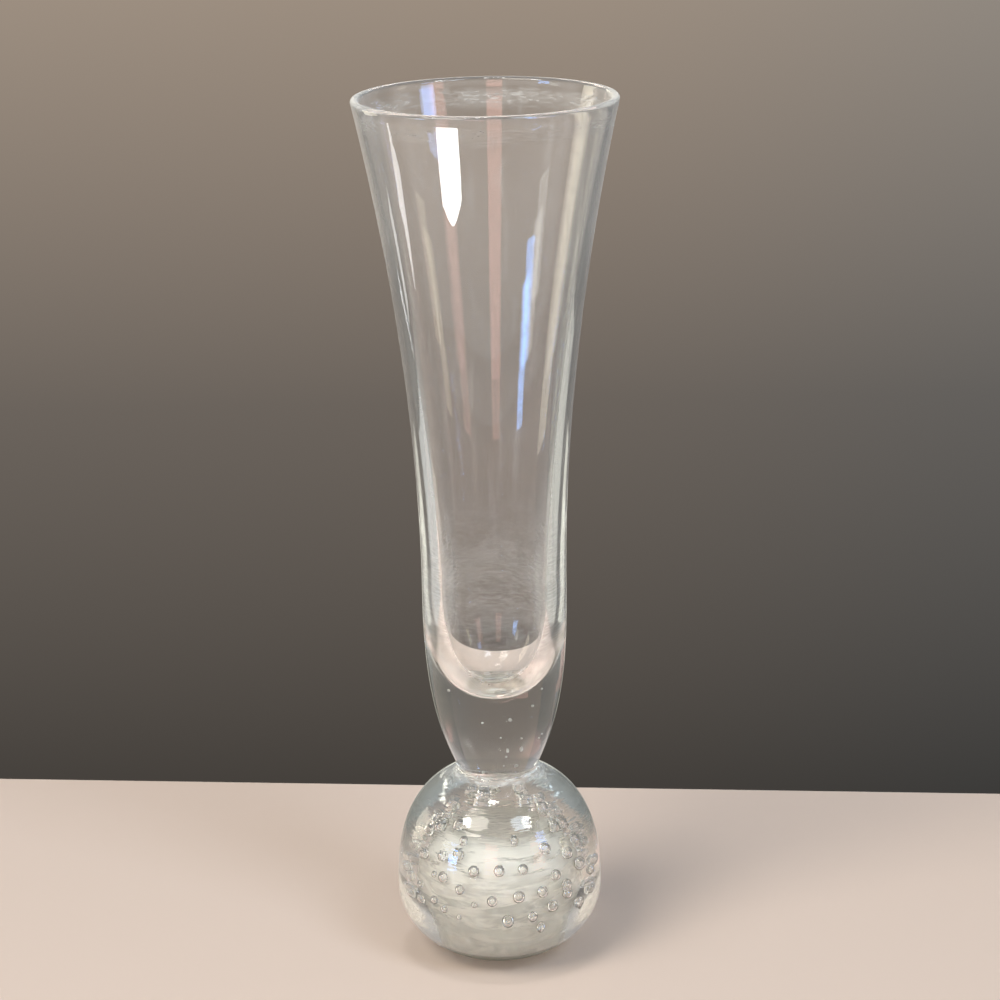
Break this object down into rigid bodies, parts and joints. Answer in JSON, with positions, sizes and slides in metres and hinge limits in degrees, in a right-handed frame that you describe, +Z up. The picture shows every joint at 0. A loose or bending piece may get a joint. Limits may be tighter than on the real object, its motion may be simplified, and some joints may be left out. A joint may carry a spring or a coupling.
{
  "type": "bud vase",
  "caption": "Tall flared bud vase of clear glass on a solid ball base with rings of trapped bubbles",
  "frame": {"origin": "centre of the flat base, on the surface the vase stands on", "axes": "+Z up along the vase's axis; the vase is round, so X and Y are free"},
  "size_m": [0.0734, 0.0734, 0.25],
  "materials": {
    "body_glass": "clear, fire-polished",
    "casing_glass": "clear, fire-polished, ground flat underneath",
    "core_glass": "clear, with pressed bubbles"
  },
  "bodies": {
    "root": {"flared_body": "body_glass", "ball_casing": "casing_glass", "bubble_core": "core_glass"}
  },
  "joints": []
}
